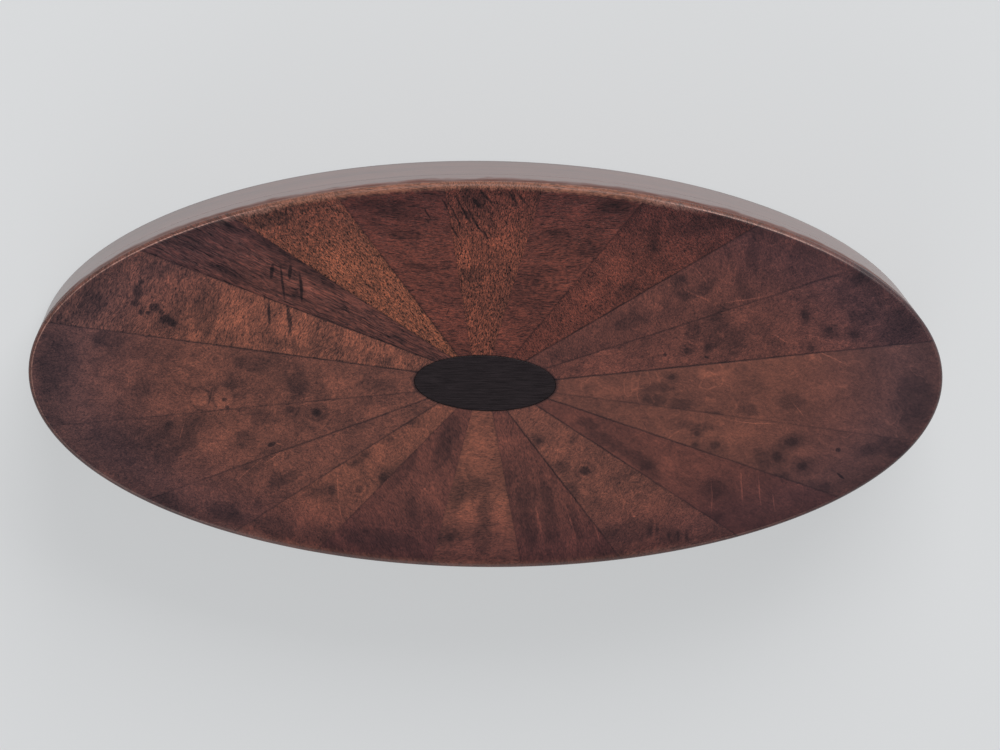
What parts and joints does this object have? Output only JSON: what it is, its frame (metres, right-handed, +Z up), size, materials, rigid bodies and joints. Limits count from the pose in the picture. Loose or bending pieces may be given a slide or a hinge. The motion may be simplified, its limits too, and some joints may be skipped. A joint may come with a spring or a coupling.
{
  "type": "oval hinged box",
  "caption": "Small oval wooden box with a hinged lid over a lined well; the lid's face is a fan of burr veneer wedges fitted round a dark oval.",
  "frame": {"origin": "middle of the underside of the closed box, on the surface it lies on", "axes": "+X along the oval's length, +Y towards the hinge, +Z up through the lid's face"},
  "size_m": [0.096, 0.041, 0.018],
  "materials": {
    "burr_veneer": "French-polished burr, worn",
    "plain_veneer": "French-polished",
    "ebony": "polished",
    "carcass": "bare, aged",
    "horn_lining": "polished",
    "hinge_brass": "aged"
  },
  "bodies": {
    "base": {"base_side_veneer_front": "plain_veneer", "base_side_veneer_back": "plain_veneer", "base_veneer": "plain_veneer", "base_board": "carcass", "base_wall": "carcass", "lining_floor": "horn_lining", "lining_wall": "horn_lining", "hinge_base_leaf": "hinge_brass", "hinge_base_nails": "hinge_brass", "hinge_pin": "hinge_brass"},
    "lid": {"face_wedge_01": "burr_veneer", "face_wedge_02": "burr_veneer", "face_wedge_03": "burr_veneer", "face_wedge_04": "burr_veneer", "face_wedge_05": "burr_veneer", "face_wedge_06": "burr_veneer", "face_wedge_07": "burr_veneer", "face_wedge_08": "burr_veneer", "face_wedge_09": "burr_veneer", "face_wedge_10": "burr_veneer", "face_wedge_11": "burr_veneer", "face_wedge_12": "burr_veneer", "face_wedge_13": "burr_veneer", "face_wedge_14": "burr_veneer", "face_wedge_15": "burr_veneer", "face_wedge_16": "burr_veneer", "face_wedge_17": "burr_veneer", "face_wedge_18": "burr_veneer", "face_wedge_19": "burr_veneer", "face_wedge_20": "burr_veneer", "lid_side_veneer_front": "plain_veneer", "lid_side_veneer_back": "plain_veneer", "face_centre_oval": "ebony", "lid_board": "carcass", "lid_rim": "carcass", "lid_lining": "horn_lining", "hinge_lid_leaf": "hinge_brass", "hinge_lid_nails": "hinge_brass"}
  },
  "joints": [
    {"name": "lid_hinge", "type": "hinge", "parent": "base", "child": "lid", "pos_m": [0, 0.01975, 0.0115], "axis": [-1, 0, 0], "range_deg": [0, 95]}
  ]
}
